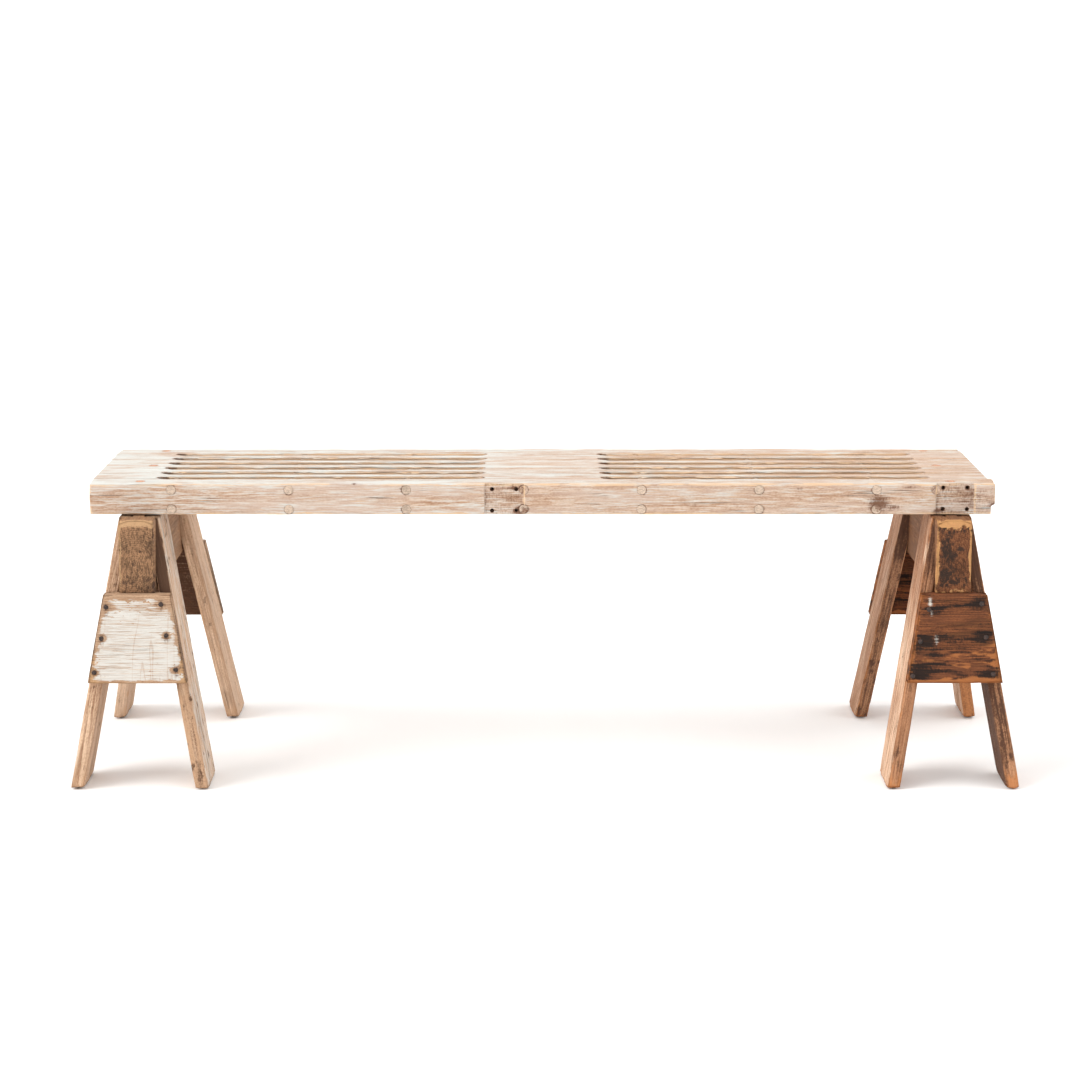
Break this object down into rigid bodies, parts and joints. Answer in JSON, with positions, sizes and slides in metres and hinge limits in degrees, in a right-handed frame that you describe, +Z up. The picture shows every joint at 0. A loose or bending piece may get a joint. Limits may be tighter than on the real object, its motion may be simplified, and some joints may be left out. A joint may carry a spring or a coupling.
{
  "type": "sawhorse bench",
  "caption": "Long slatted wooden deck screwed down across a pair of low sawhorses with splayed legs and gusset boards, for use as a work platform or bench.",
  "frame": {"origin": "on the floor, midway between the two sawhorses and midway between the front and back feet", "axes": "+X along the deck to the right-hand end, +Y from the front rail (with the bracket seats) to the back rail, +Z up"},
  "size_m": [1.359, 0.4772, 0.4303],
  "materials": {
    "deck_wood": "bare weathered softwood with a rubbed-off lime wash, matt",
    "dowel_wood": "bare end grain, matt",
    "tan_leg_wood": "bare worn softwood, matt",
    "tan_beam_wood": "bare worn softwood with dark end grain, matt",
    "white_painted_wood": "flaking white paint on bare wood",
    "brown_leg_wood": "bare worn softwood, matt",
    "brown_beam_wood": "bare worn softwood with blackened end grain, matt",
    "dark_stained_wood": "oil-darkened softwood, half matt",
    "iron": "rusty iron"
  },
  "bodies": {
    "root": {"deck_rail_front": "deck_wood", "deck_rail_back": "deck_wood", "deck_slat_1": "deck_wood", "deck_slat_2": "deck_wood", "deck_slat_3": "deck_wood", "deck_slat_4": "deck_wood", "deck_slat_5": "deck_wood", "spacer_left_1": "deck_wood", "spacer_left_2": "deck_wood", "spacer_left_3": "deck_wood", "spacer_left_4": "deck_wood", "spacer_left_5": "deck_wood", "spacer_left_6": "deck_wood", "spacer_middle_1": "deck_wood", "spacer_middle_2": "deck_wood", "spacer_middle_3": "deck_wood", "spacer_middle_4": "deck_wood", "spacer_middle_5": "deck_wood", "spacer_middle_6": "deck_wood", "spacer_right_1": "deck_wood", "spacer_right_2": "deck_wood", "spacer_right_3": "deck_wood", "spacer_right_4": "deck_wood", "spacer_right_5": "deck_wood", "spacer_right_6": "deck_wood", "dowel_upper_1": "dowel_wood", "dowel_lower_1": "dowel_wood", "dowel_upper_2": "dowel_wood", "dowel_lower_2": "dowel_wood", "dowel_upper_3": "dowel_wood", "dowel_lower_3": "dowel_wood", "dowel_upper_4": "dowel_wood", "dowel_lower_4": "dowel_wood", "dowel_upper_5": "dowel_wood", "dowel_lower_5": "dowel_wood", "dowel_upper_6": "dowel_wood", "dowel_lower_6": "dowel_wood", "dowel_upper_7": "dowel_wood", "dowel_lower_7": "dowel_wood", "rail_plug": "dowel_wood", "deck_screw_left_front": "iron", "deck_screw_left_middle": "iron", "deck_screw_left_back": "iron", "deck_screw_right_front": "iron", "deck_screw_right_middle": "iron", "deck_screw_right_back": "iron", "left_beam": "tan_beam_wood", "left_leg_front_left": "tan_leg_wood", "left_leg_front_right": "tan_leg_wood", "left_gusset_front": "white_painted_wood", "left_leg_back_left": "tan_leg_wood", "left_leg_back_right": "tan_leg_wood", "left_gusset_back": "white_painted_wood", "right_beam": "brown_beam_wood", "right_leg_front_left": "brown_leg_wood", "right_leg_front_right": "brown_leg_wood", "right_gusset_front": "dark_stained_wood", "right_leg_back_left": "brown_leg_wood", "right_leg_back_right": "brown_leg_wood", "right_gusset_back": "dark_stained_wood"}
  },
  "joints": []
}
